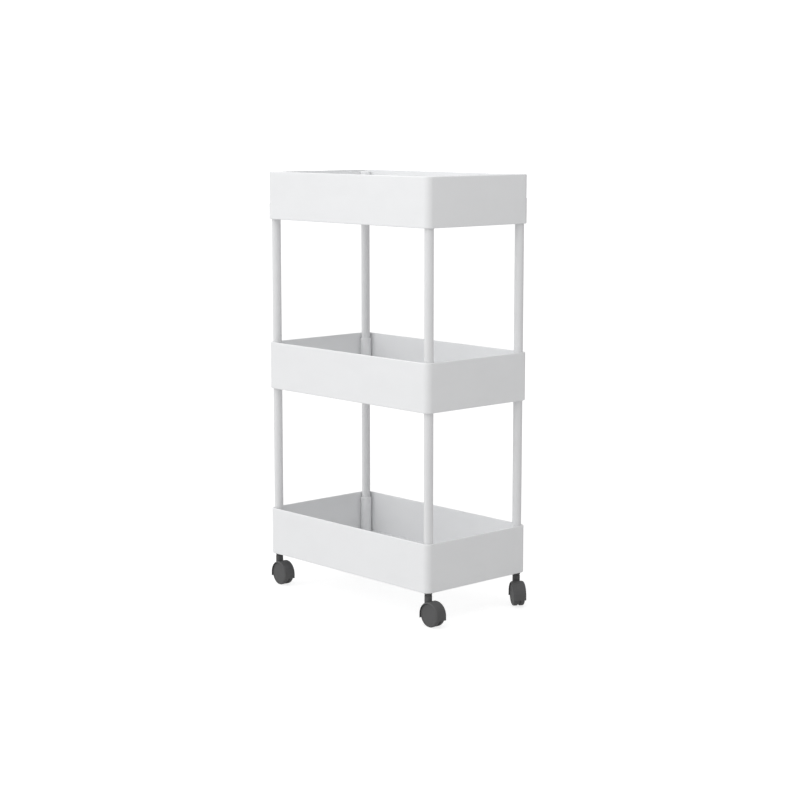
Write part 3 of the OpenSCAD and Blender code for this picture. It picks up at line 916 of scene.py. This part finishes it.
def build_hoods(cart):
    sizes = cart.caster
    outer = HOOD_HIGH.x - AXLE.x
    inner = outer - sizes.hood_wall
    half = (HOOD_HIGH.y - HOOD_LOW.y) / 2
    cavity = half - sizes.lip_wall
    foot, neck_top = sizes.skirt, HOOD_HIGH.z

    # A station's X points away from the axle and its Y along it
    def station(turn, level):
        return Matrix.Translation((TRAIL, 0, level)) @ Matrix.Rotation(-turn, 4, "Y")
    steps = 40
    turns = [math.pi * i / steps for i in range(steps + 1)]
    stations = [station(0.0, foot), *(station(turn, WHEEL_RADIUS) for turn in turns),
                station(math.pi, foot)]
    hood = swept_solid("hood_pattern", hood_section(sizes), stations)

    edge = sizes.hood_edge - sizes.hood_wall
    drum = turned("drum", [(0, -cavity), (inner - edge, -cavity),
                           *arc((inner - edge, -cavity + edge), edge, -90, 0, 6),
                           *arc((inner - edge, cavity - edge), edge, 0, 90, 6), (0, cavity)])
    move(drum, ON_AXLE)
    stem_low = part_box("caster_stem_front_right")[0].z
    pin, head = sizes.pin + PLAY, sizes.pin_head + PLAY
    room = stem_low - CLEAR
    head_top = stem_low + sizes.pin_head_height + CLEAR
    neck = turned("neck", [
        (0, WHEEL_RADIUS), (sizes.neck, WHEEL_RADIUS),
        *arc((sizes.neck - SOFT_EDGE, neck_top - SOFT_EDGE), SOFT_EDGE, 0, 90, 4),
        (pin + CHAMFER, neck_top), (pin, neck_top - CHAMFER), (pin, head_top),
        (head, head_top), (head, room), (0, room)])
    combine(neck, "DIFFERENCE", drum)

    # The web's rim lies inside the hood's wall, and its low edge inside the boss
    rim = inner + sizes.hood_wall / 2
    low_turn = math.degrees(math.asin((sizes.boss - 0.1 * MM) / rim))
    web = extruded("web", arc((0, 0), rim, -low_turn, 180 + low_turn, 60), sizes.web)
    disc_radius = WHEEL_RADIUS - HOOD_LOW.z
    disc = roller("disc", disc_radius, sizes.web / 2)
    boss = roller("boss", sizes.boss, sizes.boss_width / 2)
    bore = roller("bore", sizes.axle, half, BORE_STEPS)
    for part in (web, disc, boss, bore):
        move(part, ON_AXLE)
    combine(hood, "UNION", web, disc, boss, neck)
    combine(hood, "DIFFERENCE", bore)
    finished(hood, material_for("caster_plastic"))
    for corner in CORNERS:
        piece = copy_of(hood, f"hood_{corner}", caster_place(corner))
        hand_over(piece, f"caster_{corner}", f"caster_hood_{corner}")
    bpy.data.objects.remove(hood)


def build_wheels(cart):
    sizes = cart.caster
    low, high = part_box("wheel_front_right_left")
    faces = sorted((abs(low.y - AXLE.y), abs(high.y - AXLE.y)))
    outer_face = faces[1]
    hub_face, inner_face = faces[0], faces[0] + CLEAR
    radius, edge = WHEEL_RADIUS, sizes.tread_edge
    axle_low, axle_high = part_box("caster_axle_front_right")
    axle_end = (axle_high.y - axle_low.y) / 2
    bore, head = sizes.axle + PLAY, sizes.axle_head + PLAY
    head_seat = axle_end - sizes.axle_head_width - 0.1 * MM
    step = sizes.face_step
    step_radius = radius - sizes.face_margin
    dish, dish_radius = outer_face - sizes.disc, radius - sizes.tread
    fillet, inner_edge = sizes.dish_edge, sizes.tread_inner_edge
    profile = [
        (0, axle_end + CLEAR), (head, axle_end + CLEAR), (head, head_seat),
        (bore, head_seat), (bore, hub_face + BREAK), (bore + BREAK, hub_face),
        (sizes.hub - CHAMFER, hub_face), (sizes.hub, hub_face + CHAMFER),
        *arc((sizes.hub + fillet, dish - fillet), fillet, 180, 90, 3),
        *arc((dish_radius - fillet, dish - fillet), fillet, 90, 0, 3),
        (dish_radius, inner_face + BREAK), (dish_radius + BREAK, inner_face),
        *arc((radius - inner_edge, inner_face + inner_edge), inner_edge, -90, 0, 4),
        *arc((radius - edge, outer_face - edge), edge, 0, 90, 8),
        *arc((step_radius + step, outer_face - step), step, 90, 150, 3),
        (step_radius, outer_face - step), (0, outer_face - step)]
    wheel = finished(turned("wheel_pattern", profile, WHEEL_STEPS), material_for("wheel_plastic"))
    for corner in CORNERS:
        for side in SIDES:
            node = f"wheel_{corner}_{side}"
            middle = sum(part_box(node), Vector()) / 2 - axle_point(corner)
            place = caster_place(corner)
            across = place.to_3x3() @ Vector((0, 1, 0))
            # ON_AXLE turns Z to -Y, so a wheel on the other side is turned round
            turn = Matrix.Rotation(0 if middle.dot(across) < 0 else math.pi, 4, "X")
            piece = copy_of(wheel, f"twin_{node}", place @ ON_AXLE @ turn)
            hand_over(piece, f"wheel_{corner}_{side}", node)
    bpy.data.objects.remove(wheel)


def finish_small_steel(cart):
    """Grip rings and axles keep their CAD shape and get the plated finish."""
    for corner in CORNERS:
        for node in (f"grip_ring_{corner}", f"caster_axle_{corner}"):
            for slot in frame["nodes"][node].material_slots:
                slot.material = material_for("steel")


# ---------------------------------------------------------------- stage

BACKGROUND = 2.0  # strength that the camera sees behind the cart
FLOOR_HALF_SIDE = 12.0
LAMP_TARGET = (0.0, 0.0, 0.4)
KEY_PLACE = (-0.7, -1.7, 1.5)
KEY_SIDE = 1.2
KEY_TINT = (0.96, 0.98, 1.0)
FILL_PLACE = (0.7, -0.4, 1.6)
FILL_SIDE = 1.0


def soft_light(name, place, side, energy, tint=(1.0, 1.0, 1.0)):
    """A large square lamp that faces the cart."""
    lamp = bpy.data.lights.new(name, "AREA")
    lamp.shape = "RECTANGLE"
    lamp.size = lamp.size_y = side
    lamp.energy = energy
    lamp.color = tint
    light = bpy.data.objects.new(name, lamp)
    light.location = place
    toward = Vector(LAMP_TARGET) - Vector(place)
    light.rotation_euler = toward.to_track_quat("-Z", "Y").to_euler()
    bpy.context.scene.collection.objects.link(light)


def build_floor(cart):
    mesh = bpy.data.meshes.new("studio_floor")
    shape = bmesh.new()
    bmesh.ops.create_grid(shape, x_segments=1, y_segments=1, size=FLOOR_HALF_SIDE)
    shape.to_mesh(mesh)
    shape.free()
    floor = new_object("studio_floor", mesh)
    floor.data.materials.append(finish_material(
        "pale_floor", cart.finish.floor, rough=0.7, grain=0.002, depth=0.00001, waves=0.4,
        edge_shade=1.0, haze_shade=0.995, specular=0.1,
        glow=(cart.finish.floor_glow, cart.finish.floor_white)))


def build_sky(settings):
    """Soft light all round, brighter from the key side, and a white background."""
    world = bpy.data.worlds.new("studio_sky")
    world.use_nodes = True
    world.node_tree.nodes.clear()
    build = TreeBuilder(world.node_tree)
    direction = build.add("ShaderNodeTexCoord").outputs["Generated"]
    toward = Vector(settings.toward).normalized()
    facing = build.add("ShaderNodeVectorMath", {0: direction, 1: toward},
                       operation="DOT_PRODUCT").outputs["Value"]
    glow = build.calc("MULTIPLY_ADD", facing, settings.glow, settings.sky)
    seen = build.add("ShaderNodeLightPath").outputs["Is Camera Ray"]
    level = build.calc("MAXIMUM", glow, build.calc("MULTIPLY", seen, BACKGROUND))
    light = build.add("ShaderNodeBackground", {"Color": WHITE, "Strength": level})
    output = build.add("ShaderNodeOutputWorld")
    build.wire(light, output.inputs["Surface"])
    bpy.context.scene.world = world


def build_stage(cart):
    settings = cart.stage
    scene = bpy.context.scene
    camera = bpy.data.objects.new("camera", bpy.data.cameras.new("camera"))
    camera.data.lens = settings.lens
    back = Vector((math.sin(settings.azimuth) * math.cos(settings.elevation),
                   -math.cos(settings.azimuth) * math.cos(settings.elevation),
                   math.sin(settings.elevation)))
    camera.location = Vector(settings.aim) + back * settings.distance
    camera.rotation_euler = (-back).to_track_quat("-Z", "Y").to_euler()
    camera.data.clip_start = 0.05
    scene.collection.objects.link(camera)
    scene.camera = camera
    scene.view_settings.view_transform = "Standard"
    soft_light("key", KEY_PLACE, KEY_SIDE, settings.key, KEY_TINT)
    soft_light("fill", FILL_PLACE, FILL_SIDE, settings.fill)
    build_floor(cart)
    build_sky(settings)


# ---------------------------------------------------------------- operators

class CartOperator:
    """What the cart's operators share: each one runs its maker with the scene's settings."""
    bl_options = {"REGISTER", "UNDO"}

    def execute(self, context):
        type(self).make(context.scene.pantry_cart)
        return {"FINISHED"}


class CART_OT_stage(CartOperator, bpy.types.Operator):
    """Set up the camera, the lamps and the pale floor"""
    bl_idname = "pantry_cart.stage"
    bl_label = "Stage"
    make = staticmethod(build_stage)


class CART_OT_trays(CartOperator, bpy.types.Operator):
    """Mould the three trays"""
    bl_idname = "pantry_cart.trays"
    bl_label = "Trays"
    make = staticmethod(build_trays)


class CART_OT_posts(CartOperator, bpy.types.Operator):
    """Cut the eight posts to length"""
    bl_idname = "pantry_cart.posts"
    bl_label = "Posts"
    make = staticmethod(build_posts)


class CART_OT_caps(CartOperator, bpy.types.Operator):
    """Close the top tray's columns with caps"""
    bl_idname = "pantry_cart.caps"
    bl_label = "Caps"
    make = staticmethod(build_caps)


class CART_OT_bushes(CartOperator, bpy.types.Operator):
    """Put a bush in each column of the bottom tray"""
    bl_idname = "pantry_cart.bushes"
    bl_label = "Bushes"
    make = staticmethod(build_bushes)


class CART_OT_stems(CartOperator, bpy.types.Operator):
    """Turn the casters' steel stems"""
    bl_idname = "pantry_cart.stems"
    bl_label = "Stems"
    make = staticmethod(build_stems)


class CART_OT_hoods(CartOperator, bpy.types.Operator):
    """Mould the casters' hoods"""
    bl_idname = "pantry_cart.hoods"
    bl_label = "Hoods"
    make = staticmethod(build_hoods)


class CART_OT_wheels(CartOperator, bpy.types.Operator):
    """Mould the casters' twin wheels"""
    bl_idname = "pantry_cart.wheels"
    bl_label = "Wheels"
    make = staticmethod(build_wheels)


class CART_OT_small_steel(CartOperator, bpy.types.Operator):
    """Plate the grip rings and axles"""
    bl_idname = "pantry_cart.small_steel"
    bl_label = "Rings and axles"
    make = staticmethod(finish_small_steel)


OPERATORS = (CART_OT_stage, CART_OT_trays, CART_OT_posts, CART_OT_caps, CART_OT_bushes,
             CART_OT_stems, CART_OT_hoods, CART_OT_wheels, CART_OT_small_steel)


class CART_PT_panel(bpy.types.Panel):
    """Lists the cart's operators"""
    bl_idname = "CART_PT_panel"
    bl_label = "Pantry Cart"
    bl_space_type = "VIEW_3D"
    bl_region_type = "UI"
    bl_category = "Pantry Cart"

    def draw(self, context):
        for operator in OPERATORS:
            self.layout.operator(operator.bl_idname)


CLASSES = (CART_PG_tray, CART_PG_post, CART_PG_caster, CART_PG_finish, CART_PG_stage,
           CART_PG_cart, *OPERATORS, CART_PT_panel)


def register():
    for one in CLASSES:
        bpy.utils.register_class(one)
    bpy.types.Scene.pantry_cart = PointerProperty(type=CART_PG_cart)


def unregister():
    del bpy.types.Scene.pantry_cart
    for one in reversed(CLASSES):
        bpy.utils.unregister_class(one)


def main():
    register()
    for operator in OPERATORS:
        group, name = operator.bl_idname.split(".")
        getattr(getattr(bpy.ops, group), name)()


if __name__ == "__main__":
    main()
